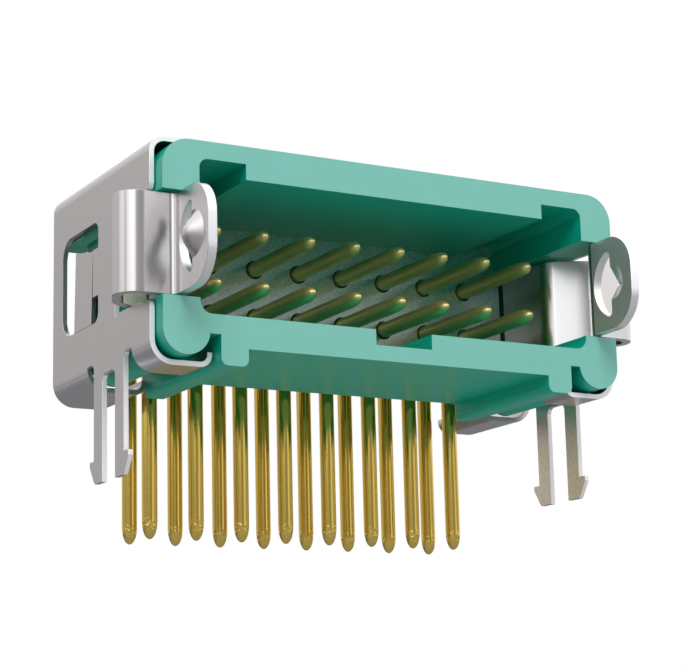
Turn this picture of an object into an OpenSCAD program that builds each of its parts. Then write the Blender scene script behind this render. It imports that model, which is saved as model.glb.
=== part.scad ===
// Right-angle pin header: a shrouded two-row header for the edge of a circuit board.
// Millimetres. The board's top surface is z = 0 and the origin is the centre of the tail pattern.
// The mating side faces -Y, +X is along the rows and +Z is away from the board.

/* [Contacts] */
// Distance between neighbouring contacts, and between the two rows
pitch = 2.54; // [2.3:0.02:2.8]
// Diameter of the round contact wire
pin_d = 0.8; // [0.64:0.02:0.9]
// Height of the lower row's axis above the board
lower_row_z = 4.44; // [4.2:0.02:5.2]
// How far the mating ends stand out of the cavity floor
mating_l = 6.4; // [4:0.1:7.2]
// How far the tails reach below the board's top surface
tail_l = 6.85; // [3:0.05:8]
// Radius of the wire's axis in the right-angle bend
bend_r = 0.6; // [0.5:0.02:0.8]
// Radius of a mating tip's round end
mating_tip_r = 0.23; // [0.16:0.01:0.3]
// Length of the steep part of a mating end's point
mating_taper = 0.35; // [0.2:0.05:0.8]
// Diameter of the tails, which are drawn down a little to enter the board's holes
tail_d = 0.78; // [0.6:0.01:0.8]
// Radius of a tail's round end
tail_tip_r = 0.2; // [0.14:0.01:0.26]
// Length of the steep part of a tail's point
tail_taper = 0.4; // [0.2:0.05:0.8]
// Length of the shallow part of both points
shoulder_l = 0.5; // [0.2:0.05:0.8]
// How far the steep part's wide end lies under the wire's surface
shoulder_in = 0.05; // [0.02:0.01:0.1]
// Diameter of the swelling that locks a contact in the housing
swell_d = 0.94; // [0.92:0.02:1.1]
// Length of that swelling
swell_l = 0.5; // [0.3:0.05:0.7]

/* [Housing] */
// Distance from the last contact to the housing's end face
end_margin = 3.81; // [3.7:0.05:4.6]
// Thickness of the two end walls
end_wall = 1.88; // [1.8:0.02:1.96]
// Distance from the upper row's axis up to the cavity's ceiling
ceiling_gap = 1.98; // [1.8:0.02:2.4]
// Thickness of the top wall
top_wall = 1.63; // [1.2:0.01:2]
// Distance from the lower row's axis down to the cavity's lower face
floor_gap = 2.08; // [1.9:0.02:2.15]
// Thickness of the bottom wall
bottom_wall = 1.52; // [1.3:0.02:1.6]
// Depth of the cavity, from the mating face to the cavity floor
cavity_d = 8.38; // [7.8:0.02:9.4]
// Thickness of the base that holds the contacts
base_t = 1.25; // [1:0.05:1.8]
// Radius of the outer top corners
corner_r = 1.4; // [1:0.05:1.8]
// Radius of the cavity's lower corners
cavity_low_r = 0.6; // [0.2:0.05:0.7]
// Radius of the corner notches' outer corners
cavity_top_r = 0.45; // [0.2:0.05:0.6]
// Width of the two polarising notches in the ceiling's corners
corner_notch_w = 2.42; // [1.5:0.02:3.5]
// Depth of those notches
corner_notch_d = 0.77; // [0.4:0.01:0.9]
// Width of the polarising groove in the middle of the lower face
key_w = 3.13; // [2:0.01:5]
// Depth of that groove
key_d = 0.76; // [0.3:0.02:0.9]
// Width of the round lobe under each end wall
lobe_w = 2.37; // [2.3:0.01:2.5]
// Width of the slot between a lobe and its foot rail
slot_w = 0.54; // [0.5:0.01:0.7]
// Height of that slot's roof above the board
slot_roof_z = 1.43; // [1.3:0.01:1.6]
// Width of the foot rails that stand on the board
foot_w = 1.4; // [0.8:0.02:2]
// Radius of the foot rails' lower edges
foot_r = 0.35; // [0.1:0.05:0.4]
// How far the foot rails run on behind the bottom wall
foot_behind = 0.3; // [0.1:0.05:0.5]
// Size of the slope at the back of the bottom wall
base_slope = 0.9; // [0.4:0.05:1]
// How far the hood reaches past the rear tails' axis
hood_over = 0.18; // [0:0.02:0.6]
// Thickness of the hood's roof
hood_roof = 1.5; // [1.2:0.05:2]
// Thickness of the hood's end skirts
hood_skirt = 1.35; // [1:0.05:1.8]
// Distance from the upper wires up to the hood's lower edge
hood_gap = 0.74; // [0.1:0.02:0.9]

/* [Latch windows] */
// Height of the latch clips' middle above the lower row
latch_up = 1.14; // [1.0:0.02:1.3]
// Clearance above and below a clip in its window
window_gap = 0.1; // [0.05:0.01:0.2]
// How far the window is cut through the end wall, from the mating face
window_d = 4.9; // [4.7:0.02:5.2]
// Clearance beside the clip's leg in its pocket
pocket_gap = 0.15; // [0.08:0.01:0.2]

/* [Brackets] */
// Thickness of the bracket sheet
sheet_t = 0.25; // [0.2:0.01:0.3]
// Clearance between a bracket and the housing's end face
sheet_gap = 0.05; // [0.02:0.01:0.1]
// How far the bracket's front edge stands behind the mating face
bracket_back = 0.8; // [0.4:0.05:1]
// Outer radius of the upper bend
top_bend_r = 0.8; // [0.6:0.05:1]
// How far the top flange reaches in from the bracket's outer face
top_flange_l = 3.75; // [2:0.05:5]
// Outer radius of the lower bend
low_bend_r = 1.15; // [1:0.05:1.3]
// Outer radius of the curled inner edge of the lower flanges
curl_r = 0.6; // [0.5:0.02:0.64]
// Length of the straight lip above that curl
lip_l = 0.12; // [0.04:0.02:0.2]
// Width of the front tab under the lobe
tab_w = 2.15; // [1.6:0.05:2.5]
// Width of the reliefs between the legs and the flanges
relief_w = 0.88; // [0.7:0.02:1]
// Width of a board-lock leg
leg_w = 1.06; // [0.8:0.02:1.2]
// Gap between the two legs of a bracket
leg_slot = 1.55; // [1.2:0.05:1.8]
// Radius of the upper corners of that gap and of the reliefs
relief_r = 0.35; // [0.2:0.05:0.4]
// Height of that gap's top above the board
leg_slot_z = 0.5; // [0.2:0.05:0.9]
// How far the legs reach below the board's top surface
leg_l = 4.68; // [2.5:0.02:6]
// How far a barb stands out of its leg
barb_w = 0.5; // [0.2:0.02:0.7]
// Distance from a leg's tip up to its barb's shoulder
barb_h = 1.12; // [0.6:0.02:1.5]
// Length of the bracket's rear window
pane_l = 4.69; // [4.4:0.02:5]
// Height of that window
pane_h = 5; // [4.6:0.05:5.2]
// Height of the window's lower edge above the board
pane_z = 3.2; // [2.8:0.05:3.5]
// Strip of sheet left behind the window
pane_rim = 1.31; // [1:0.02:1.5]
// Width of the tongue that stands in the window
tongue_w = 2.2; // [1.6:0.05:2.4]
// Height of the tongue's rear edge
tongue_h = 4.1; // [3:0.05:4.2]
// Drop of the tongue's top edge towards the front
tongue_drop = 0.42; // [0:0.02:0.6]
// Lean of the tongue towards the housing, in degrees
tongue_lean = 1; // [0:0.25:2.5]
// How far the land in front of the tongue stands into the window
land_w = 0.72; // [0.5:0.02:0.9]
// Gap between the tongue and that land
tongue_gap = 0.2; // [0.1:0.01:0.25]

/* [Latch clips] */
// Thickness of the spring strip
clip_t = 0.45; // [0.35:0.01:0.5]
// Width of the strip, along Z
clip_h = 4.8; // [4:0.05:5]
// Distance from the housing's end face in to the leg's inner face
leg_in = 1.33; // [1.3:0.01:1.36]
// Distance from the mating face back to the start of the first bend
first_bend_y = 4.78; // [4.6:0.02:4.9]
// Radius of the strip's axis in the first bend
first_bend_r = 0.8; // [0.7:0.02:0.9]
// Angle between the slanting leg and the X axis
slant_a = 31.5; // [28:0.5:34]
// Angle between the loop's back and the Y axis
loop_a = 22.9; // [18:0.1:26]
// Radius of the strip's axis in the loop
loop_r = 0.865; // [0.75:0.005:0.95]
// How far the loop stands out of the bracket
loop_out = 1.5; // [1.35:0.02:1.7]
// How far the loop's flat front lies behind the mating face
loop_back = 0.38; // [0.2:0.02:0.6]
// Radius of the strip's axis in the fold to the grip plate
fold_r = 0.525; // [0.45:0.005:0.6]
// Distance from the housing's end face in to the grip plate's outer face
grip_in = 0.8; // [0.7:0.02:0.9]
// How far the grip plate stands out of the mating face
grip_out = 3.17; // [2.9:0.01:3.6]
// Radius of the grip plate's front corners
grip_r = 1.75; // [1:0.05:2]
// Distance from the grip plate's front edge back to the eye's straight side
eye_y = 1.73; // [1.6:0.01:1.9]
// Radius of the eye's curved side
eye_r = 1.85; // [1.7:0.01:1.9]
// How far the eye's centre lies ahead of its straight side
eye_shift = 0.47; // [0.4:0.01:0.6]
// Radius of the eye's two round ends
eye_end_r = 0.25; // [0.15:0.01:0.35]
// Radius of the half cone's foot
dome_r = 1.1; // [0.9:0.01:1.2]
// How far the half cone's axis lies ahead of the eye's straight side
dome_shift = 0.15; // [0.05:0.01:0.25]
// Radius of its blunt top
dome_top_r = 0.45; // [0.3:0.01:0.6]
// Height of its flank
dome_flank_h = 0.42; // [0.3:0.01:0.5]
// Height of its blunt top above the flank
dome_top_h = 0.13; // [0.05:0.01:0.15]

/* [Hidden] */
columns = 8;
PIN_NODES = concat(
    [for (i = [1 : columns]) str("upper_pin_", i)],
    [for (i = [1 : columns]) str("lower_pin_", i)]
);
END_NODES = ["left_bracket", "right_bracket", "left_latch_clip", "right_latch_clip"];

teal = [0.31, 0.64, 0.57];
steel = [0.66, 0.65, 0.65];
spring_steel = [0.8, 0.8, 0.82];
gold = [0.8, 0.64, 0.25];

eps = 0.01;
cut = 0.5;
round_fn = 64;
wire_fn = 48;

// Places along X: everything is measured in from the housing's end face.
half_w = (columns - 1) * pitch / 2 + end_margin;
cavity_x = half_w - end_wall;
notch_x = cavity_x - corner_notch_w;
lobe_x = half_w - lobe_w;
foot_x = lobe_x - slot_w;
leg_x = half_w - leg_in;
grip_x = half_w - grip_in;
plate_x = half_w + sheet_gap;
outer_x = plate_x + sheet_t;

// Places along Y: the base stands just in front of the lower wires' bends.
lower_tail_y = -pitch / 2;
upper_tail_y = pitch / 2;
bend_gap = 0.03;
base_rear_y = lower_tail_y - bend_r - bend_gap;
base_face_y = base_rear_y - base_t;
front_y = base_face_y - cavity_d;
hood_rear_y = upper_tail_y + hood_over;
wall_rear_y = base_rear_y - base_slope;
bracket_front_y = front_y + bracket_back;

// Heights.
upper_row_z = lower_row_z + pitch;
floor_z = lower_row_z - floor_gap;
wall_z = floor_z - bottom_wall;
ceiling_z = upper_row_z + ceiling_gap;
top_z = ceiling_z + top_wall;
hood_z = upper_row_z + pin_d / 2 + hood_gap;
lobe_gap = 0.12;
lobe_r = lobe_w / 2;
lobe_z = sheet_t + lobe_gap;
latch_z = lower_row_z + latch_up;
clip_low_z = latch_z - clip_h / 2;
window_low_z = clip_low_z - window_gap;
window_h = clip_h + 2 * window_gap;
window_rear_y = front_y + window_d;

// Contact holes: a countersink rings each wire at the cavity floor, down to the seat of its swelling.
sink_gap = 0.09;
sink_r = pin_d / 2 + sink_gap;
swell_rear = 0.35;
sink_d = base_t - swell_rear - swell_l;

// Board-lock legs, counted back from the bracket's front edge.
tab_rear_y = bracket_front_y + tab_w;
front_leg_y = tab_rear_y + relief_w;
rear_leg_y = front_leg_y + leg_w + leg_slot;
flange_front_y = rear_leg_y + leg_w + relief_w;
barb_slope = 0.25;
tip_in = 0.12;

// The bracket's rear window, its tongue and the land in front of the tongue.
pane_rear_y = hood_rear_y - pane_rim;
pane_front_y = pane_rear_y - pane_l;
pane_front_r = 0.5;
pane_rear_r = 1.05;
land_up = 1.3;
land_z = pane_z + land_up;
land_h = tongue_h - tongue_drop - land_up;
tongue_y = pane_front_y + land_w + tongue_gap;
tongue_room = 0.15;
recess_d = tongue_h * sin(tongue_lean) + tongue_room;
recess_gap = 0.25;
recess_drop = 0.62;
recess_h = pane_h - recess_drop;

// The notch for the clip: round lips at the front, small reliefs at the rear corners.
notch_lip_r = 0.5;
notch_relief_r = 0.18;

// How far the curled lip stands off the middle of its slot, towards the foot rail.
curl_shift = 0.06;

// The clip's path, seen from above, for the clip on the +X side.
first_turn = 90 - slant_a;
back_turn = 90 - slant_a - loop_a;
front_turn = 90 + loop_a;
path_x = leg_x + clip_t / 2;
first_y = front_y + first_bend_y;
root_rear_y = base_rear_y;
loop_c = [outer_x + loop_out - clip_t / 2 - loop_r, front_y + loop_back + clip_t / 2 + loop_r];
slant_start = [path_x + first_bend_r * (1 - cos(first_turn)), first_y - first_bend_r * sin(first_turn)];
slant_gap = loop_c + loop_r * [sin(slant_a), cos(slant_a)] - slant_start;
back_l = -(slant_gap.y * cos(slant_a) + slant_gap.x * sin(slant_a)) / cos(slant_a + loop_a);
back_end = loop_c + loop_r * [cos(loop_a), sin(loop_a)] + back_l * [-sin(loop_a), cos(loop_a)];
bend_steps = 16;
grip_y = front_y + loop_back + clip_t / 2 - fold_r;
grip_front_y = front_y - grip_out;
eye_edge_y = grip_front_y + eye_y;
eye_c = [eye_edge_y - eye_shift, latch_z];
eye_end_y = eye_edge_y + eye_end_r;
eye_end_up = sqrt(pow(eye_r - eye_end_r, 2) - pow(eye_shift + eye_end_r, 2));
eye_a = acos((eye_shift + eye_end_r) / (eye_r - eye_end_r));

// Copies a piece of the +X end to the -X end as well.
module both_ends() {
    children();
    mirror([1, 0, 0]) children();
}

// A block given by two opposite corners.
module block(a, b) {
    translate(a) cube(b - a);
}

// Turns a drawing in X and Z into a bar along Y, from y0 to y1.
module bar_y(y0, y1) {
    translate([0, y1, 0]) rotate([90, 0, 0]) linear_extrude(y1 - y0) children();
}

// Turns a drawing in Y and Z into a plate across X, from x0 to x1.
module plate_yz(x0, x1) {
    translate([x0, 0, 0]) rotate([90, 0, 90]) linear_extrude(x1 - x0) children();
}

// A rectangle with its own radius at the two upper and at the two lower corners.
module soft_rect(x0, x1, z0, z1, top_r, low_r) {
    difference() {
        translate([x0, z0]) square([x1 - x0, z1 - z0]);
        for (side = [[x0, 1], [x1, -1]]) {
            corner_cut([side[0], z1], [side[1], -1], top_r);
            corner_cut([side[0], z0], [side[1], 1], low_r);
        }
    }
}

// What a fillet of radius r takes off the corner at p. The signs in d point into the shape.
module corner_cut(p, d, r) {
    if (r > 0) {
        difference() {
            translate([p.x - (d.x < 0 ? r : eps), p.y - (d.y < 0 ? r : eps)]) square(r + eps);
            translate([p.x + d.x * r, p.y + d.y * r]) circle(r, $fn = round_fn);
        }
    }
}

// Outline of the shroud in X and Z: the body, two round lobes and two foot rails.
module shroud_outline() {
    lobe_c_z = lobe_z + lobe_r;
    soft_rect(-half_w, half_w, lobe_c_z, top_z, corner_r, 0);
    translate([-lobe_x, slot_roof_z]) square([2 * lobe_x, ceiling_z - slot_roof_z]);
    translate([-foot_x, wall_z]) square([2 * foot_x, ceiling_z - wall_z]);
    for (side = [-1, 1]) {
        translate([side * (half_w - lobe_r), lobe_c_z]) circle(lobe_r, $fn = round_fn);
    }
}

// Outline of one foot rail, on the +X side.
module foot_outline() {
    soft_rect(foot_x - foot_w, foot_x, 0, wall_z + base_slope / 2, 0, foot_r);
}

// Outline of the cavity: a middle part, two ceiling notches and the groove in the lower face.
module cavity_outline() {
    notch_z = ceiling_z + corner_notch_d;
    notch_h = notch_z - latch_z;
    soft_rect(-cavity_x, cavity_x, floor_z, ceiling_z, 0, cavity_low_r);
    for (x = [-cavity_x, notch_x]) {
        intersection() {
            soft_rect(-cavity_x, cavity_x, latch_z, notch_z, cavity_top_r, 0);
            translate([x, latch_z]) square([corner_notch_w, notch_h]);
        }
    }
    translate([-key_w / 2, floor_z - key_d]) square([key_w, key_d + eps]);
}

// Through holes for one row of contacts, with the swelling's seat and the countersink.
module row_holes(row_z) {
    for (i = [1 : columns]) {
        translate([column_x(i), 0, row_z]) rotate([90, 0, 0]) {
            translate([0, 0, -base_rear_y - cut]) cylinder(d = pin_d, h = base_t + 2 * cut, $fn = wire_fn);
            translate([0, 0, -base_rear_y + swell_rear]) cylinder(d = swell_d, h = swell_l, $fn = wire_fn);
            translate([0, 0, -base_face_y - sink_d]) cylinder(r = sink_r, h = sink_d + cut, $fn = wire_fn);
        }
    }
}

// The opening for one clip: a window through the end wall, a pocket beside the leg and the root's slot.
module latch_opening() {
    near = [cavity_x - cut, front_y - cut, window_low_z];
    high = window_low_z + window_h;
    root_high = clip_low_z + clip_h;
    block(near, [half_w + cut, window_rear_y, high]);
    block(near, [leg_x + clip_t + pocket_gap, base_face_y, high]);
    root = [leg_x - pocket_gap, base_face_y - eps, clip_low_z];
    block(root, [leg_x + clip_t, base_rear_y + cut, root_high]);
}

// One moulding: shroud, base and the hood that covers the bent wires.
module housing() {
    color(teal) difference() {
        union() {
            bar_y(front_y, base_rear_y) shroud_outline();
            bar_y(front_y, hood_rear_y) soft_rect(-half_w, half_w, hood_z, top_z, corner_r, 0);
            both_ends() intersection() {
                bar_y(front_y, wall_rear_y + foot_behind) foot_outline();
                foot_plan();
            }
        }
        bar_y(front_y - cut, base_face_y) cavity_outline();
        base_back_slope();
        hood_hollow();
        both_ends() latch_opening();
        both_ends() tongue_recess();
        row_holes(lower_row_z);
        row_holes(upper_row_z);
    }
}

// Keeps a foot rail's rear end round, seen from below.
module foot_plan() {
    rear = wall_rear_y + foot_behind;
    translate([0, 0, -cut]) linear_extrude(top_z) {
        soft_rect(foot_x - foot_w, foot_x, front_y, rear, foot_r, 0);
    }
}

// The slope under the back of the base, between the foot rails and past them to the ends.
module base_back_slope() {
    reach = half_w + cut;
    difference() {
        plate_yz(-reach, reach) polygon([
            [wall_rear_y, wall_z - eps],
            [base_rear_y, wall_z + base_slope],
            [base_rear_y + cut, wall_z + base_slope],
            [base_rear_y + cut, -cut],
            [wall_rear_y, -cut]
        ]);
        both_ends() block([foot_x - foot_w, front_y, -cut], [foot_x, wall_rear_y + foot_behind, top_z]);
    }
}

// The hood is open below and behind, with a skirt at each end.
module hood_hollow() {
    inner_x = half_w - hood_skirt;
    block([-inner_x, base_rear_y, hood_z - cut], [inner_x, hood_rear_y + cut, top_z - hood_roof]);
}

// A shallow recess in the end face behind the bracket's window, open to the rear, for the tongue to flex.
module tongue_recess() {
    near = [half_w - recess_d, pane_front_y - recess_gap, pane_z - recess_gap];
    block(near, [half_w + cut, base_rear_y + cut, pane_z + recess_h]);
}

// Place of a contact's column along X.
function column_x(i) = (i - (columns + 1) / 2) * pitch;

// A right-angle contact bent from round wire, gold plated, with a domed mating end and a tapered tail.
module contact(i, row_z, tail_y) {
    mating_point = mating_tip_r + mating_taper + shoulder_l;
    tail_point = tail_tip_r + tail_taper + shoulder_l;
    color(gold) translate([column_x(i), 0, 0]) {
        translate([0, tail_y - bend_r, row_z]) rotate([90, 0, 0]) {
            cylinder(d = pin_d, h = tail_y - bend_r - base_face_y + mating_l - mating_point, $fn = wire_fn);
        }
        translate([0, base_face_y - mating_l, row_z]) rotate([-90, 0, 0]) {
            wire_point(mating_tip_r, mating_taper, pin_d);
        }
        translate([0, base_face_y, row_z]) rotate([-90, 0, 0]) swelling();
        translate([0, tail_y - bend_r, row_z - bend_r]) rotate([90, 0, 90]) {
            rotate_extrude(angle = 90, $fn = round_fn) {
                translate([bend_r, 0]) circle(d = pin_d, $fn = wire_fn);
            }
        }
        translate([0, tail_y, 0]) cylinder(d1 = tail_d, d2 = pin_d, h = row_z - bend_r, $fn = wire_fn);
        translate([0, tail_y, tail_point - tail_l]) {
            cylinder(d = tail_d, h = tail_l - tail_point, $fn = wire_fn);
        }
        translate([0, tail_y, -tail_l]) wire_point(tail_tip_r, tail_taper, tail_d);
    }
}

// A wire's point, growing along +Z from its tip at the origin: round end, steep part and shoulder.
module wire_point(tip_r, taper, d) {
    shoulder_r = d / 2 - shoulder_in;
    translate([0, 0, tip_r]) {
        sphere(tip_r, $fn = wire_fn);
        cylinder(r1 = tip_r, r2 = shoulder_r, h = taper, $fn = wire_fn);
        translate([0, 0, taper]) cylinder(r1 = shoulder_r, d2 = d, h = shoulder_l, $fn = wire_fn);
    }
}

// The swelling that locks a contact, with its lead-in through the countersink.
module swelling() {
    cylinder(d1 = pin_d, d2 = swell_d, h = sink_d, $fn = wire_fn);
    translate([0, 0, sink_d]) cylinder(d = swell_d, h = swell_l, $fn = wire_fn);
}

module upper_pin(i) {
    contact(i, upper_row_z, upper_tail_y);
}

module lower_pin(i) {
    contact(i, lower_row_z, lower_tail_y);
}

// A quarter of a bent sheet's section in X and Z: its centre, outer radius and first angle.
module bend_section(c, outer_r, a0) {
    side = outer_r + cut;
    translate(c) intersection() {
        difference() {
            circle(outer_r, $fn = round_fn);
            circle(outer_r - sheet_t, $fn = round_fn);
        }
        rotate(a0) square(side);
    }
}

// Section of the lower flanges in X and Z: bend, flat and curled lip.
module low_flange_section() {
    curl_x = foot_x + slot_w / 2 - sheet_t / 2 - curl_shift + curl_r;
    bend_section([outer_x - low_bend_r, low_bend_r], low_bend_r, 270);
    translate([curl_x, 0]) square([outer_x - low_bend_r - curl_x, sheet_t]);
    bend_section([curl_x, curl_r], curl_r, 180);
    translate([curl_x - curl_r, curl_r]) square([sheet_t, lip_l]);
}

// Section of the top flange in X and Z.
module top_flange_section() {
    flange_z = top_z + sheet_t;
    bend_section([outer_x - top_bend_r, flange_z - top_bend_r], top_bend_r, 0);
    translate([outer_x - top_flange_l, top_z]) square([top_flange_l - top_bend_r, sheet_t]);
}

// Flat outline of the side plate in Y and Z, with its notch, window and legs.
module side_plate_outline() {
    plate_l = hood_rear_y - bracket_front_y;
    plate_h = top_z + sheet_t - top_bend_r - low_bend_r;
    web_z = leg_slot_z - relief_r;
    web_y = tab_rear_y + relief_w / 2;
    web_l = flange_front_y - relief_w / 2 - web_y;
    difference() {
        union() {
            translate([bracket_front_y, low_bend_r]) square([plate_l, plate_h]);
            translate([web_y, low_bend_r - relief_r]) square([web_l, relief_r + eps]);
            translate([front_leg_y, web_z]) square([2 * leg_w + leg_slot, low_bend_r - web_z + eps]);
            leg_outline(front_leg_y + leg_w, -1);
            leg_outline(rear_leg_y, 1);
        }
        clip_notch();
        for (y = [tab_rear_y, flange_front_y - relief_w]) {
            relief(y, relief_w, low_bend_r);
        }
        relief(front_leg_y + leg_w, leg_slot, leg_slot_z);
        pane_outline();
    }
    translate([pane_front_y - eps, land_z]) square([land_w + eps, land_h]);
}

// The window, with wide rear corners and tighter front ones.
module pane_outline() {
    difference() {
        translate([pane_front_y, pane_z]) square([pane_l, pane_h]);
        for (side = [[pane_z, 1], [pane_z + pane_h, -1]]) {
            corner_cut([pane_front_y, side[0]], [1, side[1]], pane_front_r);
            corner_cut([pane_rear_y, side[0]], [-1, side[1]], pane_rear_r);
        }
    }
}

// A slot with round upper corners, open downwards, from y on.
module relief(y, w, z) {
    soft_rect(y, y + w, -cut, z, relief_r, 0);
}

// One board-lock leg with its barb. The straight side is at y and the barb is on the side that d points to.
module leg_outline(y, d) {
    w = d * leg_w;
    b = d * (leg_w + barb_w);
    shoulder = barb_h - leg_l;
    polygon([
        [y, low_bend_r],
        [y, -leg_l],
        [y + d * (leg_w - tip_in), -leg_l],
        [y + w, tip_in - leg_l],
        [y + b, shoulder - barb_slope],
        [y + b, shoulder - eps],
        [y + w, shoulder],
        [y + w, low_bend_r]
    ]);
}

// The notch that the latch clip passes through, open to the front, with round lips and relieved corners.
module clip_notch() {
    low = window_low_z;
    high = low + window_h;
    y0 = bracket_front_y;
    translate([y0 - cut, low]) square([window_rear_y - y0 + cut, window_h]);
    corner_cut([y0, low], [1, -1], notch_lip_r);
    corner_cut([y0, high], [1, 1], notch_lip_r);
    for (z = [low, high]) {
        translate([window_rear_y - notch_relief_r, z]) circle(notch_relief_r, $fn = round_fn);
    }
}

// The tongue, free at its top and leaning towards the housing.
module tongue() {
    translate([outer_x, tongue_y, pane_z - eps]) rotate([0, -tongue_lean, 0]) plate_yz(-sheet_t, 0) {
        polygon([[0, 0], [tongue_w, 0], [tongue_w, tongue_h], [0, tongue_h - tongue_drop]]);
    }
}

// One folded stainless bracket for the +X end: side plate, flanges, board-lock legs and tongue.
module bracket() {
    color(steel) {
        plate_yz(plate_x, outer_x) side_plate_outline();
        bar_y(bracket_front_y, hood_rear_y) top_flange_section();
        bar_y(bracket_front_y, tab_rear_y) low_flange_section();
        bar_y(flange_front_y, hood_rear_y) low_flange_section();
        tongue();
    }
}

module right_bracket() {
    bracket();
}

module left_bracket() {
    mirror([1, 0, 0]) bracket();
}

// Points of one edge of the strip through a bend: where the strip's axis enters it and its heading there,
// the axis's radius and its turn (positive to the left), and how far the edge lies to the left of the axis.
function bend_points(p, h, r, turn, side) =
    let (s = sign(turn), c = p + s * r * heading(h + 90))
    [for (i = [0 : bend_steps]) c - (s * r - side) * heading(h + 90 + turn * i / bend_steps)];

function heading(a) = [cos(a), sin(a)];

// One edge of the whole strip, from the grip plate through the fold and the loop to the root in the base.
function strip_edge(side) = concat(
    bend_points([grip_x - clip_t / 2, grip_y], 90, fold_r, -90, side),
    bend_points(loop_c - [0, loop_r], 0, loop_r, front_turn, side),
    bend_points(back_end, front_turn, loop_r, back_turn, side),
    bend_points(slant_start, 180 - slant_a, first_bend_r, -first_turn, side),
    [[path_x - side, root_rear_y]]
);

function reversed(v) = [for (i = [1 : len(v)]) v[len(v) - i]];

module strip() {
    translate([0, 0, clip_low_z]) linear_extrude(clip_h) {
        polygon(concat(strip_edge(clip_t / 2), reversed(strip_edge(-clip_t / 2))));
    }
}

// Outline of the grip plate in Y and Z.
module grip_outline() {
    high = clip_low_z + clip_h;
    difference() {
        translate([grip_front_y, clip_low_z]) square([grip_y - grip_front_y, clip_h]);
        corner_cut([grip_front_y, high], [1, -1], grip_r);
        corner_cut([grip_front_y, clip_low_z], [1, 1], grip_r);
        eye_outline();
    }
}

// Points along an arc from angle a0 on, without its last point: its centre, radius and both angles.
function arc_points(c, r, a0, a1) =
    [for (i = [0 : bend_steps - 1]) c + r * heading(a0 + (a1 - a0) * i / bend_steps)];

// The eye in Y and Z: a wide arc, two round ends and a straight side.
module eye_outline() {
    high = [eye_end_y, latch_z + eye_end_up];
    low = [eye_end_y, latch_z - eye_end_up];
    polygon(concat(
        arc_points(eye_c, eye_r, -eye_a, eye_a),
        arc_points(high, eye_end_r, eye_a, 180),
        [[eye_edge_y, high.y]],
        arc_points(low, eye_end_r, 180, 360 - eye_a)
    ));
}

// A blunt cone on a plane of constant X, bulging to +X: the plane, its foot radius and its top radius.
module blunt_cone(x, foot_r, top_r) {
    high = dome_flank_h + dome_top_h;
    translate([x, eye_edge_y - dome_shift, latch_z]) rotate([0, 90, 0]) rotate_extrude($fn = round_fn) {
        polygon([
            [0, -eps],
            [foot_r, -eps],
            [foot_r, 0],
            [top_r, dome_flank_h],
            [top_r / 2, high - dome_top_h / 4],
            [0, high]
        ]);
    }
}

// The half cone pressed outwards from the strip of plate in front of the eye.
module half_dome(x, foot_r, top_r) {
    near = [x - cut, grip_front_y, clip_low_z];
    intersection() {
        blunt_cone(x, foot_r, top_r);
        block(near, [x + cut + dome_flank_h, eye_edge_y, clip_low_z + clip_h]);
    }
}

// One spring clip for the +X end, bent from a single strip: leg, loop, fold and grip plate.
module latch_clip() {
    inner_x = grip_x - clip_t;
    color(spring_steel) {
        strip();
        difference() {
            union() {
                plate_yz(inner_x, grip_x) grip_outline();
                half_dome(grip_x, dome_r, dome_top_r);
            }
            half_dome(inner_x, dome_r - clip_t / 2, dome_top_r - clip_t / 2);
        }
    }
}

module right_latch_clip() {
    latch_clip();
}

module left_latch_clip() {
    mirror([1, 0, 0]) latch_clip();
}

housing();
left_bracket();
right_bracket();
left_latch_clip();
right_latch_clip();
for (i = [1 : columns]) {
    upper_pin(i);
    lower_pin(i);
}
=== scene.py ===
import math
import bpy
from mathutils import Matrix, Vector


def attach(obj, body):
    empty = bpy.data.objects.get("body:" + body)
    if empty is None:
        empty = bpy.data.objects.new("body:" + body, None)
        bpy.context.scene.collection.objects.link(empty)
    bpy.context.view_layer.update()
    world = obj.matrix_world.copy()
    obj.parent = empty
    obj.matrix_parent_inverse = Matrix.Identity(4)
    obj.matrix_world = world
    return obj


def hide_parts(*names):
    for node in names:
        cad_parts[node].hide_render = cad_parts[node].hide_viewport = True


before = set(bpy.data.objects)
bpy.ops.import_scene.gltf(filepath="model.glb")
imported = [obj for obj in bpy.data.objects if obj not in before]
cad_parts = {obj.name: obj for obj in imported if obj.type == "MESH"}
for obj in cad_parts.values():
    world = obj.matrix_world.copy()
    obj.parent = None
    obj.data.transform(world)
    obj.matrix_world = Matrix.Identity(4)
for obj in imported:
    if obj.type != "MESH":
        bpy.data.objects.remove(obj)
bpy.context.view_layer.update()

# The housing is one moulding of glass-filled teal PBT: shroud, contact base, foot rails, lobes and hood.
# Its walls come glossy from a polished mould. The mating rim is blasted matt with a painted sheen, the cavity floor
# is spark-eroded with painted shade and painted glints, and the end faces that the brackets cover are unpolished and
# carry painted shade. Moulded edges are never quite sharp.
MM = 0.001
HOUSING_TEAL, RIM_TEAL, FLOOR_TEAL, COVERED_TEAL = "00A289", "72B6A9", "2E9079", "0E6F5C"
MATING_FACE_Y, CAVITY_FLOOR_Y = -11.53 * MM, -3.15 * MM
CAVITY_HALF_W, BELOW_KEY_Z = 10.9 * MM, 1.5 * MM
NEAR_END_X, COVERED_FROM_Y = 12.4 * MM, -6.0 * MM
MOULDED_BREAK, WITHIN = 0.05 * MM, 0.03 * MM


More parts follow.
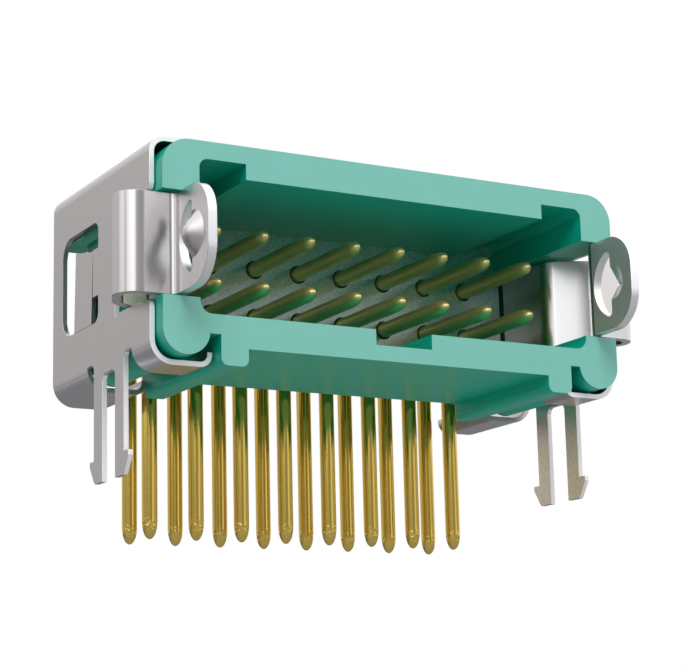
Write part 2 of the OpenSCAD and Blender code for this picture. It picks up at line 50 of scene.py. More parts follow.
def worked_copy(cad_name, name):
    """A copy of a CAD node under a name of its own, with its corners merged, ready to be worked on."""
    bpy.ops.object.select_all(action="DESELECT")
    piece = bpy.data.objects.new(name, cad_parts[cad_name].data.copy())
    piece.data.name = name
    bpy.context.scene.collection.objects.link(piece)
    bpy.context.view_layer.objects.active = piece
    piece.select_set(True)
    piece.data.materials.clear()
    bpy.ops.mesh.customdata_custom_splitnormals_clear()
    bpy.ops.object.mode_set(mode="EDIT")
    bpy.ops.mesh.select_mode(type="VERT")
    bpy.ops.mesh.select_all(action="SELECT")
    bpy.ops.mesh.remove_doubles(threshold=0.0002 * MM)
    bpy.ops.mesh.dissolve_limited(angle_limit=math.radians(0.3))
    bpy.ops.object.mode_set(mode="OBJECT")
    return piece


def break_edges(piece, width, clamped):
    """Takes off every edge sharper than 40 degrees. Clamped, the width stays under the shortest edge."""
    bevel = piece.modifiers.new("broken edges", "BEVEL")
    bevel.width = width
    bevel.segments = 1
    bevel.limit_method = "ANGLE"
    bevel.angle_limit = math.radians(40)
    bevel.use_clamp_overlap = clamped
    bpy.ops.object.modifier_apply(modifier=bevel.name)


def shade(piece):
    """Smooths the curved faces, leaves corners over 30 degrees sharp, and keeps the large flat faces flat."""
    bpy.ops.object.shade_smooth_by_angle(angle=math.radians(30))
    weighted = piece.modifiers.new("flat faces stay flat", "WEIGHTED_NORMAL")
    weighted.weight = 100
    weighted.thresh = 0
    weighted.keep_sharp = True
    bpy.ops.object.modifier_apply(modifier=weighted.name)


housing = worked_copy("housing", "housing_moulding")
# a cut round the end faces, where their unpolished part and its painted shade begin
bpy.ops.object.mode_set(mode="EDIT")
bpy.ops.mesh.select_all(action="SELECT")
bpy.ops.mesh.bisect(plane_co=(0, COVERED_FROM_Y, 0), plane_no=(0, 1, 0))
bpy.ops.object.mode_set(mode="OBJECT")
break_edges(housing, MOULDED_BREAK, True)
shade(housing)


def linear(code):
    """An sRGB hex colour as linear RGBA."""
    parts = [int(code[i:i + 2], 16) / 255 for i in (0, 2, 4)]
    return [c / 12.92 if c <= 0.04045 else ((c + 0.055) / 1.055) ** 2.4 for c in parts] + [1.0]


def add(tree, kind, links=None, **settings):
    """One shader node. links sets each input to a value or to another node's output."""
    made = tree.nodes.new(kind)
    for name, value in settings.items():
        setattr(made, name, value)
    for socket, value in (links or {}).items():
        if isinstance(value, bpy.types.NodeSocket):
            tree.links.new(value, made.inputs[socket])
        else:
            made.inputs[socket].default_value = value
    return made


def new_finish(name, **constants):
    """A material, its node tree, its shader with constants set on it, and the Object coordinates."""
    material = bpy.data.materials.new(name)
    material.use_nodes = True
    tree = material.node_tree
    shader = tree.nodes["Principled BSDF"]
    for socket, value in constants.items():
        shader.inputs[socket.replace("_", " ")].default_value = value
    return material, tree, shader, add(tree, "ShaderNodeTexCoord").outputs["Object"]


def finish_faces(piece, material, belongs=lambda centre, normal: True):
    """Gives a material to all faces of a piece, or to those for which belongs(centre, normal) holds."""
    piece.data.materials.append(material)
    slot = len(piece.data.materials) - 1
    for face in piece.data.polygons:
        if belongs(face.center, face.normal):
            face.material_index = slot


# Glass-filled PBT from a polished mould: an even, saturated teal with a soft sheen and faint flow clouds.
moulded, tree, shader, place = new_finish("glass-filled PBT, polished mould", Roughness=0.34, IOR=1.57,
                                          Specular_IOR_Level=0.38)
cloud = add(tree, "ShaderNodeTexNoise", {"Vector": place, "Scale": 1 / (3.2 * MM), "Detail": 3.0})
tone = add(tree, "ShaderNodeMapRange", {"Value": cloud.outputs["Fac"], "To Min": 0.95, "To Max": 1.05})
colour = add(tree, "ShaderNodeMix", {0: 1.0, 6: linear(HOUSING_TEAL), 7: tone.outputs["Result"]},
             data_type="RGBA", blend_type="MULTIPLY")
grain = add(tree, "ShaderNodeTexNoise", {"Vector": place, "Scale": 1 / (0.05 * MM), "Detail": 2.0})
bump = add(tree, "ShaderNodeBump", {"Height": grain.outputs["Fac"], "Strength": 0.12, "Distance": 0.01 * MM})
tree.links.new(colour.outputs[2], shader.inputs["Base Color"])
tree.links.new(bump.outputs["Normal"], shader.inputs["Normal"])
finish_faces(housing, moulded)

# The mating rim: the same PBT, matt from a finely blasted mould face, and painted a paler teal as a painted sheen.
matt_rim, tree, shader, place = new_finish("glass-filled PBT, blasted rim", Roughness=0.55, IOR=1.57)
cloud = add(tree, "ShaderNodeTexNoise", {"Vector": place, "Scale": 1 / (2.4 * MM), "Detail": 4.0})
tone = add(tree, "ShaderNodeMapRange", {"Value": cloud.outputs["Fac"], "To Min": 0.97, "To Max": 1.03})
colour = add(tree, "ShaderNodeMix", {0: 1.0, 6: linear(RIM_TEAL), 7: tone.outputs["Result"]},
             data_type="RGBA", blend_type="MULTIPLY")
grain = add(tree, "ShaderNodeTexNoise", {"Vector": place, "Scale": 1 / (0.06 * MM), "Detail": 2.0})
bump = add(tree, "ShaderNodeBump", {"Height": grain.outputs["Fac"], "Strength": 0.2, "Distance": 0.01 * MM})
tree.links.new(colour.outputs[2], shader.inputs["Base Color"])
tree.links.new(bump.outputs["Normal"], shader.inputs["Normal"])
finish_faces(housing, matt_rim,
             lambda centre, normal: normal.y < -0.9 and centre.y < MATING_FACE_Y + WITHIN)

# The cavity floor: spark-eroded grain of about 0.1 mm with a glassy skin, so it mirrors the mouth of the shroud as a
# speckled grey veil, with the contacts' images as dark green bands in it. Its teal is also painted darker and
# greyer, as painted shade and a painted grey veil, and bright specks in it are painted glints.
eroded, tree, shader, place = new_finish("glass-filled PBT, spark-eroded", Roughness=0.4, IOR=1.57,
                                         Specular_IOR_Level=0.9, Coat_Weight=1.0, Coat_Roughness=0.16, Coat_IOR=2.2)
grain = add(tree, "ShaderNodeTexNoise", {"Vector": place, "Scale": 1 / (0.1 * MM), "Detail": 3.0, "Roughness": 0.7})
specks = add(tree, "ShaderNodeMapRange", {"Value": grain.outputs["Fac"], "From Min": 0.35, "From Max": 0.65,
                                          "To Min": 0.5, "To Max": 1.45})
colour = add(tree, "ShaderNodeMix", {0: 1.0, 6: linear(FLOOR_TEAL), 7: specks.outputs["Result"]},
             data_type="RGBA", blend_type="MULTIPLY")
bump = add(tree, "ShaderNodeBump", {"Height": grain.outputs["Fac"], "Strength": 0.6, "Distance": 0.014 * MM})
tree.links.new(colour.outputs[2], shader.inputs["Base Color"])
tree.links.new(bump.outputs["Normal"], shader.inputs["Normal"])
tree.links.new(bump.outputs["Normal"], shader.inputs["Coat Normal"])
finish_faces(housing, eroded,
             lambda centre, normal: normal.y < -0.9 and centre.y > CAVITY_FLOOR_Y - WITHIN
             and abs(centre.x) < CAVITY_HALF_W and centre.z > BELOW_KEY_Z)

# The end faces behind the brackets come from unpolished parts of the mould: matt and without a sheen. Their teal is
# painted darker as painted shade under the brackets.
covered, tree, shader, place = new_finish("glass-filled PBT, unpolished end face", Roughness=0.7, IOR=1.57)
cloud = add(tree, "ShaderNodeTexNoise", {"Vector": place, "Scale": 1 / (0.4 * MM), "Detail": 4.0})
tone = add(tree, "ShaderNodeMapRange", {"Value": cloud.outputs["Fac"], "To Min": 0.9, "To Max": 1.1})
colour = add(tree, "ShaderNodeMix", {0: 1.0, 6: linear(COVERED_TEAL), 7: tone.outputs["Result"]},
             data_type="RGBA", blend_type="MULTIPLY")
tree.links.new(colour.outputs[2], shader.inputs["Base Color"])
finish_faces(housing, covered,
             lambda centre, normal: abs(normal.x) > 0.9 and abs(centre.x) > NEAR_END_X
             and centre.y > COVERED_FROM_Y)

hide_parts("housing")
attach(housing, "root")

# Each bracket is stamped and folded from 0.25 mm stainless sheet and clamps one end of the housing.
# The sheet is finely dull outside and pickled matt inside. The lower folds carry painted light from below, and the
# sheared edges that face forwards a painted highlight. The press breaks the sheared edges' rims by 0.02 mm.
FRONT_EDGES_Y = -4.5 * MM
LOW_FOLDS_Z, SIDE_PLATE_X = 2.0 * MM, 12.99 * MM
PRESSED_BREAK = 0.02 * MM

# Rolled stainless sheet: a soft grey mirror with a faint grain along Y.
rolled, tree, shader, place = new_finish("stainless sheet, rolled", Metallic=1.0, Roughness=0.38)
shader.inputs["Base Color"].default_value = linear("C5C1C0")
stretch = add(tree, "ShaderNodeMapping", {"Vector": place, "Scale": (1.0, 0.12, 1.0)})
rolling = add(tree, "ShaderNodeTexNoise", {"Vector": stretch.outputs["Vector"], "Scale": 1 / (0.06 * MM),
                                           "Detail": 3.0})
bump = add(tree, "ShaderNodeBump", {"Height": rolling.outputs["Fac"], "Strength": 0.1, "Distance": 0.005 * MM})
tree.links.new(bump.outputs["Normal"], shader.inputs["Normal"])

# The inner side of the sheet was pickled matt: paler, with a fine speckle of about 0.1 mm.
pickled, tree, shader, place = new_finish("stainless sheet, pickled inner side", Metallic=1.0, Roughness=0.42)
grain = add(tree, "ShaderNodeTexNoise", {"Vector": place, "Scale": 1 / (0.09 * MM), "Detail": 3.0})
specks = add(tree, "ShaderNodeMapRange", {"Value": grain.outputs["Fac"], "From Min": 0.35, "From Max": 0.65,
                                          "To Min": 0.88, "To Max": 1.08})
colour = add(tree, "ShaderNodeMix", {0: 1.0, 6: linear("EFEAE6"), 7: specks.outputs["Result"]},
             data_type="RGBA", blend_type="MULTIPLY")
bump = add(tree, "ShaderNodeBump", {"Height": grain.outputs["Fac"], "Strength": 0.15, "Distance": 0.01 * MM})
tree.links.new(colour.outputs[2], shader.inputs["Base Color"])
tree.links.new(bump.outputs["Normal"], shader.inputs["Normal"])

# On the lower folds and flanges, which face down to the floor, the sheet is smoother and painted brighter: painted
# light from below.
wiped, tree, shader, place = new_finish("stainless sheet, wiped by the die", Metallic=1.0, Roughness=0.3)
shader.inputs["Base Color"].default_value = linear("F3F0F6")
stretch = add(tree, "ShaderNodeMapping", {"Vector": place, "Scale": (1.0, 1.0, 0.1)})
wiping = add(tree, "ShaderNodeTexNoise", {"Vector": stretch.outputs["Vector"], "Scale": 1 / (0.08 * MM),
                                          "Detail": 2.0})
bump = add(tree, "ShaderNodeBump", {"Height": wiping.outputs["Fac"], "Strength": 0.1, "Distance": 0.005 * MM})
tree.links.new(bump.outputs["Normal"], shader.inputs["Normal"])

# The sheared edges are burnished by the die and torn fine below, so they scatter light; those that face forwards are
# painted near white as a painted highlight.
sheared, tree, shader, place = new_finish("stainless sheet, sheared edge", Metallic=0.35, Roughness=0.42)
shader.inputs["Base Color"].default_value = linear("F4F2F4")
stretch = add(tree, "ShaderNodeMapping", {"Vector": place, "Scale": (0.2, 1.0, 1.0)})
tearing = add(tree, "ShaderNodeTexNoise", {"Vector": stretch.outputs["Vector"], "Scale": 1 / (0.05 * MM),
                                           "Detail": 2.0})
bump = add(tree, "ShaderNodeBump", {"Height": tearing.outputs["Fac"], "Strength": 0.15, "Distance": 0.005 * MM})
tree.links.new(bump.outputs["Normal"], shader.inputs["Normal"])


def at_right_end(centre, normal):
    """A face's place and facing in X and Y as its mirror image at the right end has them."""
    side = 1 if centre.x > 0 else -1
    return Vector((centre.x * side, centre.y)), Vector((normal.x * side, normal.y))


def is_inside(centre, normal):
    """True on the sheet's side that lies towards the housing."""
    facing = at_right_end(centre, normal)[1]
    return facing.x < -0.9


def is_wiped(centre, normal):
    """True on the outside of the lower folds and flanges, which face down and get painted light from below."""
    place, facing = at_right_end(centre, normal)
    return (normal.z < -0.3 and abs(facing.y) < 0.3 and facing.x > -0.01
            and centre.z < LOW_FOLDS_Z and place.x < SIDE_PLATE_X)


def is_sheared(centre, normal):
    """True on the edges that face forwards and get the painted highlight, but not behind the front or in the window.
    """
    return normal.y < -0.7 and centre.y < FRONT_EDGES_Y


for side in ("left", "right"):
    bracket = worked_copy(side + "_bracket", side + "_folded_bracket")
    break_edges(bracket, PRESSED_BREAK, True)
    shade(bracket)
    finish_faces(bracket, rolled)
    finish_faces(bracket, pickled, is_inside)
    # painted light from below on the lower folds
    finish_faces(bracket, wiped, is_wiped)
    # a painted highlight on the sheared edges that face forwards
    finish_faces(bracket, sheared, is_sheared)
    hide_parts(side + "_bracket")
    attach(bracket, "root")

# Each latch clip is one strip of hard spring steel, 0.45 mm thick, bent into a leg, a loop and a grip plate.
# It is bright rolled on the side seen outside and tumbled dull on the side towards the cavity. Its root is held in
# a slot of the housing's base. The eye and the blunt cone in the grip plate take the mating half's latch.
GRIP_REAR_Y, LOOP_FROM_X = -11.45 * MM, 13.5 * MM
LOOP_AXIS = Vector((13.41, -10.06)) * MM
LOOP_OPENS_BEHIND, LEG_TO_CAVITY = 0.5 * MM, Vector((-0.522, -0.853))

# Bright rolled strip: rolling drew fine lines along it, which smear a reflection up and down and leave it crisp
# along the strip. On the flat before the fold it mirrors the clip's own eye and cone.
spring, tree, shader, place = new_finish("spring steel strip, bright rolled", Metallic=1.0, Roughness=0.23,
                                         Anisotropic=0.8)
shader.inputs["Base Color"].default_value = linear("CDCACA")
across = add(tree, "ShaderNodeCombineXYZ", {"Z": 1.0})
tree.links.new(across.outputs["Vector"], shader.inputs["Tangent"])
stretch = add(tree, "ShaderNodeMapping", {"Vector": place, "Scale": (0.04, 0.04, 1.0)})
lines = add(tree, "ShaderNodeTexNoise", {"Vector": stretch.outputs["Vector"], "Scale": 1 / (0.07 * MM),
                                         "Detail": 3.0})
bump = add(tree, "ShaderNodeBump", {"Height": lines.outputs["Fac"], "Strength": 0.12, "Distance": 0.005 * MM})
sheen = add(tree, "ShaderNodeMapRange", {"Value": lines.outputs["Fac"], "To Min": 0.20, "To Max": 0.27})
tree.links.new(sheen.outputs["Result"], shader.inputs["Roughness"])
tree.links.new(bump.outputs["Normal"], shader.inputs["Normal"])

# The side towards the cavity was tumbled: duller, paler and more even, with mottles of about 0.1 mm.
tumbled, tree, shader, place = new_finish("spring steel strip, tumbled side", Metallic=0.85, Roughness=0.32)
shader.inputs["Base Color"].default_value = linear("F6F3F4")
mottle = add(tree, "ShaderNodeTexNoise", {"Vector": place, "Scale": 1 / (0.09 * MM), "Detail": 3.0})
sheen = add(tree, "ShaderNodeMapRange", {"Value": mottle.outputs["Fac"], "To Min": 0.28, "To Max": 0.36})
bump = add(tree, "ShaderNodeBump", {"Height": mottle.outputs["Fac"], "Strength": 0.1, "Distance": 0.005 * MM})
tree.links.new(sheen.outputs["Result"], shader.inputs["Roughness"])
tree.links.new(bump.outputs["Normal"], shader.inputs["Normal"])

# The inside of the loop is grainy and painted a darker brownish grey: painted shade in the loop's hollow.
squeezed, tree, shader, place = new_finish("spring steel strip, inside of the loop", Metallic=1.0, Roughness=0.45)
shader.inputs["Base Color"].default_value = linear("6E6A58")
wrinkles = add(tree, "ShaderNodeTexNoise", {"Vector": place, "Scale": 1 / (0.12 * MM), "Detail": 3.0})
bump = add(tree, "ShaderNodeBump", {"Height": wrinkles.outputs["Fac"], "Strength": 0.2, "Distance": 0.01 * MM})
tree.links.new(bump.outputs["Normal"], shader.inputs["Normal"])

# The slit edges of the strip and the blanked rim of the grip plate are smoother, brighter and have no lines.
blanked, tree, shader, place = new_finish("spring steel strip, blanked edge", Metallic=0.8, Roughness=0.3)
shader.inputs["Base Color"].default_value = linear("ECEBEE")
pits = add(tree, "ShaderNodeTexNoise", {"Vector": place, "Scale": 1 / (0.08 * MM), "Detail": 2.0})
bump = add(tree, "ShaderNodeBump", {"Height": pits.outputs["Fac"], "Strength": 0.1, "Distance": 0.005 * MM})
tree.links.new(bump.outputs["Normal"], shader.inputs["Normal"])


def is_blanked(centre, normal):
    """True on the strip's slit edges and on the grip plate's rim and eye, false on the rolled faces."""
    return abs(normal.z) > 0.8 or (centre.y < GRIP_REAR_Y and abs(normal.x) < 0.3)


def is_tumbled(centre, normal):
    """True on the grip plate's and the slanting leg's sides that face the cavity."""
    place, facing = at_right_end(centre, normal)
    if place.y < GRIP_REAR_Y:
        return facing.x < -0.3
    return place.y > LOOP_AXIS.y and facing.dot(LEG_TO_CAVITY) > 0.99


def is_squeezed(centre, normal):
    """True on the inside of the loop, from the end of the slanting leg on, where shade is painted."""
    place, facing = at_right_end(centre, normal)
    if place.x < LOOP_FROM_X:
        return False
    if place.y > LOOP_AXIS.y + LOOP_OPENS_BEHIND:
        return facing.dot(LEG_TO_CAVITY) > 0.9
    return (place - LOOP_AXIS).dot(facing) < 0


for side in ("left", "right"):
    clip = worked_copy(side + "_latch_clip", side + "_spring_clip")
    # a cut across the slanting leg, where the painted shade inside the loop begins
    bpy.ops.object.mode_set(mode="EDIT")
    bpy.ops.mesh.select_all(action="SELECT")
    bpy.ops.mesh.bisect(plane_co=(LOOP_FROM_X if side == "right" else -LOOP_FROM_X, 0, 0), plane_no=(1, 0, 0))
    bpy.ops.object.mode_set(mode="OBJECT")
    break_edges(clip, PRESSED_BREAK, False)
    shade(clip)
    finish_faces(clip, spring)
    finish_faces(clip, tumbled, is_tumbled)
    # painted shade inside the loop
    finish_faces(clip, squeezed, is_squeezed)
    finish_faces(clip, blanked, is_blanked)
    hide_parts(side + "_latch_clip")
    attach(clip, "root")

# The sixteen contacts are drawn copper-alloy wire, bent once and plated with gold over nickel.
# A swelling holds each in the base. The mating ends were tumbled before plating and shine softly. The tails, drawn
# down a little to enter the board, kept the die's crisp gloss. The two rows of eight differ in height and length.
PITCH, FIRST_COLUMN_X = 2.54 * MM, -8.89 * MM
LOWER_ROW_Z, UPPER_ROW_Z = 4.44 * MM, 6.98 * MM
WIRE_R, TAIL_R, SWELL_R, BEND_R = 0.40 * MM, 0.39 * MM, 0.47 * MM, 0.60 * MM
MATING_TIP_Y, SWELL_FROM_Y, SWELL_TO_Y, BASE_REAR_Y = -9.55 * MM, -2.75 * MM, -2.25 * MM, -1.90 * MM
BOARD_TOP_Z, TAIL_TIP_Z = 0.0, -6.85 * MM
MATING_POINT_L, TAIL_POINT_L, TIP_FLAT_R = 1.10 * MM, 0.95 * MM, 0.06 * MM
POINT_STATIONS = 0.03, 0.08, 0.15, 0.25, 0.38, 0.55, 0.75
COINED_FROM, COINED_TO = TAIL_TIP_Z + 1.1 * MM, TAIL_TIP_Z + 0.6 * MM
SHOULDER_L = 0.001 * MM

# Gold on a tumbled base, seen in the cavity: a broad soft sheen under a clear bright one.
mating_gold, tree, shader, place = new_finish("gold plated wire, tumbled mating end", Metallic=0.85, Roughness=0.32,
                                              Coat_Weight=0.5, Coat_Roughness=0.1)
shader.inputs["Base Color"].default_value = linear("EAD28C")
dull = add(tree, "ShaderNodeTexNoise", {"Vector": place, "Scale": 1 / (0.25 * MM), "Detail": 3.0})
sheen = add(tree, "ShaderNodeMapRange", {"Value": dull.outputs["Fac"], "To Min": 0.29, "To Max": 0.36})
tree.links.new(sheen.outputs["Result"], shader.inputs["Roughness"])

# Gold on the drawn tail: a crisp mirror with faint lines along the wire. Near its point it is rougher and sparkles
# in dents of about 0.2 mm, and it is painted a little paler there: a painted highlight.
tail_gold, tree, shader, place = new_finish("gold plated wire, drawn tail", Metallic=1.0, Roughness=0.13)
height = add(tree, "ShaderNodeSeparateXYZ", {"Vector": place}).outputs["Z"]
coined = add(tree, "ShaderNodeMapRange", {"Value": height, "From Min": COINED_FROM, "From Max": COINED_TO})
tone = add(tree, "ShaderNodeMix", {0: coined.outputs["Result"], 6: linear("D9BC5E"), 7: linear("EBCB6C")},
           data_type="RGBA")
sheen = add(tree, "ShaderNodeMapRange", {"Value": coined.outputs["Result"], "To Min": 0.13, "To Max": 0.22})
stretch = add(tree, "ShaderNodeMapping", {"Vector": place, "Scale": (1.0, 1.0, 0.02)})
drawing = add(tree, "ShaderNodeTexNoise", {"Vector": stretch.outputs["Vector"], "Scale": 1 / (0.08 * MM),
                                           "Detail": 2.0})
bump = add(tree, "ShaderNodeBump", {"Height": drawing.outputs["Fac"], "Strength": 0.05, "Distance": 0.01 * MM})
dents = add(tree, "ShaderNodeTexNoise", {"Vector": place, "Scale": 1 / (0.2 * MM), "Detail": 2.0})
dented = add(tree, "ShaderNodeBump", {"Height": dents.outputs["Fac"], "Strength": coined.outputs["Result"],
                                      "Distance": 0.06 * MM, "Normal": bump.outputs["Normal"]})
tree.links.new(tone.outputs[2], shader.inputs["Base Color"])
tree.links.new(sheen.outputs["Result"], shader.inputs["Roughness"])
tree.links.new(dented.outputs["Normal"], shader.inputs["Normal"])


def point_r(radius, part, bluntness):
    """The radius of a wire's point at a part of its length from the tip: a blunt half egg."""
    return radius * (1 - (1 - part) ** bluntness) ** 0.5


def draw_on(step, wider, centre):
    """Extrudes the wire's open ring by a step and makes it wider or narrower about a centre."""
    bpy.ops.mesh.extrude_region_move(TRANSFORM_OT_translate={"value": step})
    bpy.ops.transform.resize(value=(wider, wider, wider), center_override=centre)


def draw_contact(name, row_z, tail_y):
    """Draws the first contact of a row, from its mating tip through the bend to its tail's tip."""
    x = FIRST_COLUMN_X
    bpy.ops.object.select_all(action="DESELECT")
    bpy.ops.mesh.primitive_circle_add(vertices=40, radius=TIP_FLAT_R, fill_type="NGON",
                                      location=(x, MATING_TIP_Y, row_z), rotation=(math.radians(90), 0, 0))
    wire = bpy.context.active_object
    wire.name = wire.data.name = name
    bpy.ops.object.transform_apply(location=True, rotation=True, scale=True)
    bpy.ops.object.mode_set(mode="EDIT")
    bpy.ops.mesh.select_all(action="SELECT")
    # the mating end's point, the straight wire to the base, the swelling in it and the wire to the bend
    radius, y = TIP_FLAT_R, MATING_TIP_Y
    stations = [(MATING_TIP_Y + MATING_POINT_L * part, point_r(WIRE_R, part, 2.3)) for part in (*POINT_STATIONS, 1)]
    stations += [(CAVITY_FLOOR_Y, WIRE_R), (SWELL_FROM_Y, SWELL_R), (SWELL_TO_Y, SWELL_R),
                 (SWELL_TO_Y + SHOULDER_L, WIRE_R), (tail_y - BEND_R, WIRE_R)]
    for next_y, next_radius in stations:
        draw_on((0, next_y - y, 0), next_radius / radius, (x, next_y, row_z))
        radius, y = next_radius, next_y
    # the bend, the wire down to the board, the drawn tail and its point
    bpy.ops.mesh.spin(steps=16, angle=math.radians(90), center=(x, tail_y - BEND_R, row_z - BEND_R),
                      axis=(1, 0, 0))
    z = row_z - BEND_R
    stations = [(BOARD_TOP_Z, TAIL_R), (TAIL_TIP_Z + TAIL_POINT_L, TAIL_R)]
    stations += [(TAIL_TIP_Z + TAIL_POINT_L * part, point_r(TAIL_R, part, 2.2))
                 for part in (*reversed(POINT_STATIONS), 0.004)]
    for next_z, next_radius in stations:
        draw_on((0, 0, next_z - z), next_radius / radius, (x, tail_y, next_z))
        radius, z = next_radius, next_z
    bpy.ops.mesh.select_all(action="SELECT")
    bpy.ops.mesh.remove_doubles(threshold=0.0001 * MM)
    bpy.ops.mesh.normals_make_consistent(inside=False)
    bpy.ops.object.mode_set(mode="OBJECT")
    bpy.ops.object.shade_smooth_by_angle(angle=math.radians(50))
    finish_faces(wire, mating_gold)
    finish_faces(wire, tail_gold, lambda centre, normal: centre.y > BASE_REAR_Y)
    return wire


# the first contact of each row is drawn, and its seven neighbours are copies of it
for row, row_z, tail_y in (("upper", UPPER_ROW_Z, PITCH / 2), ("lower", LOWER_ROW_Z, -PITCH / 2)):
    first = draw_contact(f"{row}_contact_1", row_z, tail_y)
    for number in range(1, 9):
        contact = first
        if number > 1:
            contact = first.copy()
            contact.data = first.data.copy()
            contact.name = contact.data.name = f"{row}_contact_{number}"
            contact.data.transform(Matrix.Translation(((number - 1) * PITCH, 0, 0)))
            bpy.context.scene.collection.objects.link(contact)
        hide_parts(f"{row}_pin_{number}")
        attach(contact, "root")

# The header stands in a white tent for its photograph. The tent's floor is matt white paper, 3 m square, which
# metal mirrors a little darker. A card of dark felt lies on it behind the header, where only metal mirrors it.
FLOOR_Z, CARD_Z, CARD_Y = -32 * MM, -31 * MM, 530 * MM
bpy.ops.object.select_all(action="DESELECT")
bpy.ops.mesh.primitive_plane_add(size=3.0, location=(0, 0, FLOOR_Z))
floor = bpy.context.active_object
floor.name = "tent_floor"
bpy.ops.object.transform_apply(location=True, rotation=True, scale=True)
paper, tree, shader, _ = new_finish("white paper floor", Roughness=0.9)
light = add(tree, "ShaderNodeLightPath")
mirrored = add(tree, "ShaderNodeMix", {0: light.outputs["Is Glossy Ray"], 6: linear("C7C7C7"), 7: linear("9A9A9A")},
               data_type="RGBA")
tone = add(tree, "ShaderNodeMix", {0: light.outputs["Is Camera Ray"], 6: mirrored.outputs[2], 7: linear("F4F4F4")},
           data_type="RGBA")
tree.links.new(tone.outputs[2], shader.inputs["Base Color"])
floor.data.materials.append(paper)

bpy.ops.mesh.primitive_plane_add(size=1.0, location=(0, CARD_Y, CARD_Z))
card = bpy.context.active_object
card.name = "dark_card"
bpy.ops.object.transform_apply(location=True, rotation=True, scale=True)
felt, _, shader, _ = new_finish("dark felt card", Roughness=0.9)
shader.inputs["Base Color"].default_value = linear("6A6A6A")
card.data.materials.append(felt)
card.visible_camera = False
card.visible_diffuse = False

# The tent's cloth is white with darker seams and gaps all round, which shape the light on the metal. It is white
# to the camera. Metal mirrors one ring of cloth near the horizon, one above it, and the roof. The plastic's light is
# a plain soft one that grows from below to above.
LOW_RING_TO, HIGH_RING_FROM = 0.13, 0.19
GROWS_FROM, GROWS_TO, GROWN = 0.26, 0.50, 1.7
ROOF_FROM, ALL_ROOF_FROM = 0.5, 0.8
ROOF_WHITE, PLAIN_WHITE = (1.45, 1.45, 1.45, 1), (1, 1, 1, 1)
world = bpy.data.worlds.new("white tent")
bpy.context.scene.world = world
world.use_nodes = True
tree = world.node_tree
tree.nodes.clear()
# which way a ray goes: its bearing from -180 to 180 degrees as 0 to 1, and its rise as the Z of a unit vector
way = add(tree, "ShaderNodeSeparateXYZ", {"Vector": add(tree, "ShaderNodeTexCoord").outputs["Generated"]})
turn = add(tree, "ShaderNodeMath", {0: way.outputs["X"], 1: way.outputs["Y"]}, operation="ARCTAN2")
around = add(tree, "ShaderNodeMapRange", {"Value": turn.outputs[0], "From Min": -math.pi, "From Max": math.pi})


def cloth_ramp(along, stops):
    """A ramp of greys along a value, from pairs of place and brightness."""
    made = add(tree, "ShaderNodeValToRGB", {"Fac": along})
    while len(made.color_ramp.elements) < len(stops):
        made.color_ramp.elements.new(1.0)
    for element, (position, grey) in zip(made.color_ramp.elements, stops):
        element.position = position
        element.color = (grey, grey, grey, 1.0)
    return made


def bearings(*stops):
    """Stops round the tent as places on a ramp. A bearing counts from +Y, and is positive towards +X."""
    return [((degrees + 180) / 360, grey) for degrees, grey in stops]


high_cloth = cloth_ramp(around.outputs["Result"], bearings(
    (-180, 0.38), (-170, 0.42), (-160, 0.56), (-154, 1.80), (-143, 1.90), (-126, 1.70), (-114, 1.30), (-106, 0.55),
    (-98, 1.25), (-86, 1.25), (-76, 1.06), (-62, 0.62), (-48, 0.70), (-25, 0.62), (-3, 0.57), (40, 0.60), (80, 1.20),
    (120, 1.30), (149, 1.25), (153, 1.08), (156, 0.78), (160, 0.36), (171, 0.31), (180, 0.38)))
low_cloth = cloth_ramp(around.outputs["Result"], bearings(
    (-180, 0.38), (-173, 0.34), (-163, 0.42), (-145, 0.50), (-120, 0.46), (-60, 0.48), (-40, 0.72), (-20, 0.70),
    (0, 0.62), (40, 0.60), (73, 1.20), (100, 0.70), (121, 0.38), (140, 0.65), (151, 1.00), (157, 1.10), (165, 0.65),
    (172, 0.40), (180, 0.38)))
# the low ring gives way to the high one, which grows brighter up to the roof
band = add(tree, "ShaderNodeMapRange", {"Value": way.outputs["Z"], "From Min": LOW_RING_TO,
                                         "From Max": HIGH_RING_FROM})
cloth = add(tree, "ShaderNodeMix", {0: band.outputs["Result"], 6: low_cloth.outputs["Color"],
                                    7: high_cloth.outputs["Color"]}, data_type="RGBA")
rising = add(tree, "ShaderNodeMapRange", {"Value": way.outputs["Z"], "From Min": GROWS_FROM, "From Max": GROWS_TO,
                                          "To Min": 1.0, "To Max": GROWN})
brighter = add(tree, "ShaderNodeVectorMath", {0: cloth.outputs[2], "Scale": rising.outputs["Result"]},
               operation="SCALE")
roof = add(tree, "ShaderNodeMapRange", {"Value": way.outputs["Z"], "From Min": ROOF_FROM,
                                        "From Max": ALL_ROOF_FROM})
roofed = add(tree, "ShaderNodeMix", {0: roof.outputs["Result"], 6: brighter.outputs[0], 7: ROOF_WHITE},
             data_type="RGBA")
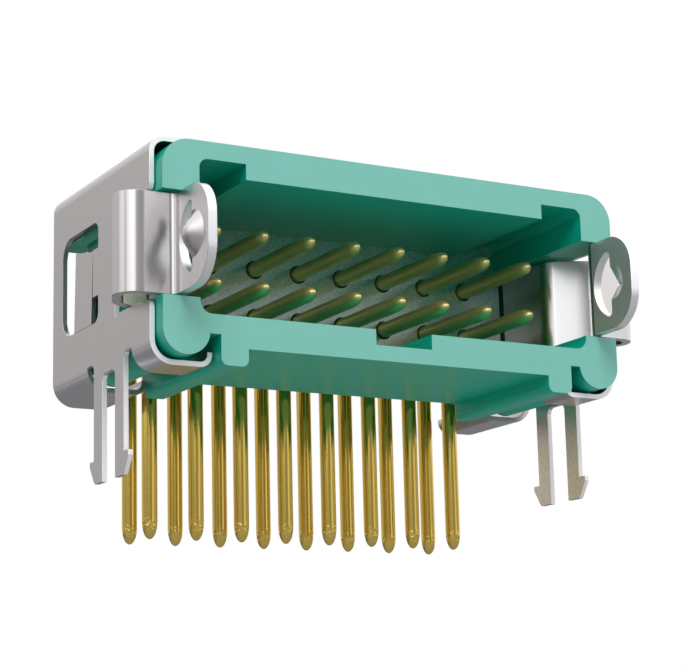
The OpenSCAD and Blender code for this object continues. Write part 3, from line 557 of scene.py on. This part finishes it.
# the plain soft light for the plastic, and white for the camera
rise = add(tree, "ShaderNodeMapRange", {"Value": way.outputs["Z"], "From Min": -1.0, "From Max": 1.0})
soft = cloth_ramp(rise.outputs["Result"], [(0.0, 0.36), (0.5, 0.45), (0.6, 0.60), (1.0, 0.68)])
light = add(tree, "ShaderNodeLightPath")
lit = add(tree, "ShaderNodeMix", {0: light.outputs["Is Glossy Ray"], 6: soft.outputs["Color"], 7: roofed.outputs[2]},
          data_type="RGBA")
seen = add(tree, "ShaderNodeMix", {0: light.outputs["Is Camera Ray"], 6: lit.outputs[2], 7: PLAIN_WHITE},
           data_type="RGBA")
backdrop = add(tree, "ShaderNodeBackground", {"Color": seen.outputs[2], "Strength": 1.0})
add(tree, "ShaderNodeOutputWorld", {"Surface": backdrop.outputs[0]})

# One soft round lamp, 250 mm wide, stands 0.4 m off in front of the header, above it and a little to the left.
# It lights the plastic from there. Metal mirrors the cloth only, and not the lamp.
lamp = bpy.data.lights.new("soft lamp", "AREA")
lamp.shape = "DISK"
lamp.size = 250 * MM
lamp.energy = 1.2
soft_lamp = bpy.data.objects.new("soft_lamp", lamp)
bpy.context.scene.collection.objects.link(soft_lamp)
soft_lamp.location = Vector((-100, -260, 300)) * MM
soft_lamp.rotation_euler = (-soft_lamp.location).to_track_quat("-Z", "Y").to_euler()
soft_lamp.visible_glossy = False
soft_lamp.visible_camera = False

# The camera stands about 105 mm off, below the header and to its left. It looks up by 12 degrees and to the right
# by 29, and is rolled by a little over one degree.
CAMERA_PLACE = Vector((-48.63, -91.90, -17.80)) * MM
BEARING, RISE, ROLL = math.radians(-29.345), math.radians(-12.074), math.radians(-1.387)
back = Vector((math.sin(BEARING) * math.cos(RISE), -math.cos(BEARING) * math.cos(RISE), math.sin(RISE)))
level_right = (-back).cross(Vector((0, 0, 1))).normalized()
level_up = level_right.cross(-back)
right = math.cos(ROLL) * level_right + math.sin(ROLL) * level_up
up = math.cos(ROLL) * level_up - math.sin(ROLL) * level_right
camera_data = bpy.data.cameras.new("photo camera")
camera_data.sensor_width = 36
camera_data.lens = 104.66
camera_data.clip_start = 0.005
camera_data.clip_end = 10
camera = bpy.data.objects.new("photo_camera", camera_data)
bpy.context.scene.collection.objects.link(camera)
turned = Matrix((right, up, back)).transposed().to_4x4()
camera.matrix_world = Matrix.Translation(CAMERA_PLACE) @ turned
bpy.context.scene.camera = camera
bpy.context.scene.view_settings.view_transform = "Standard"
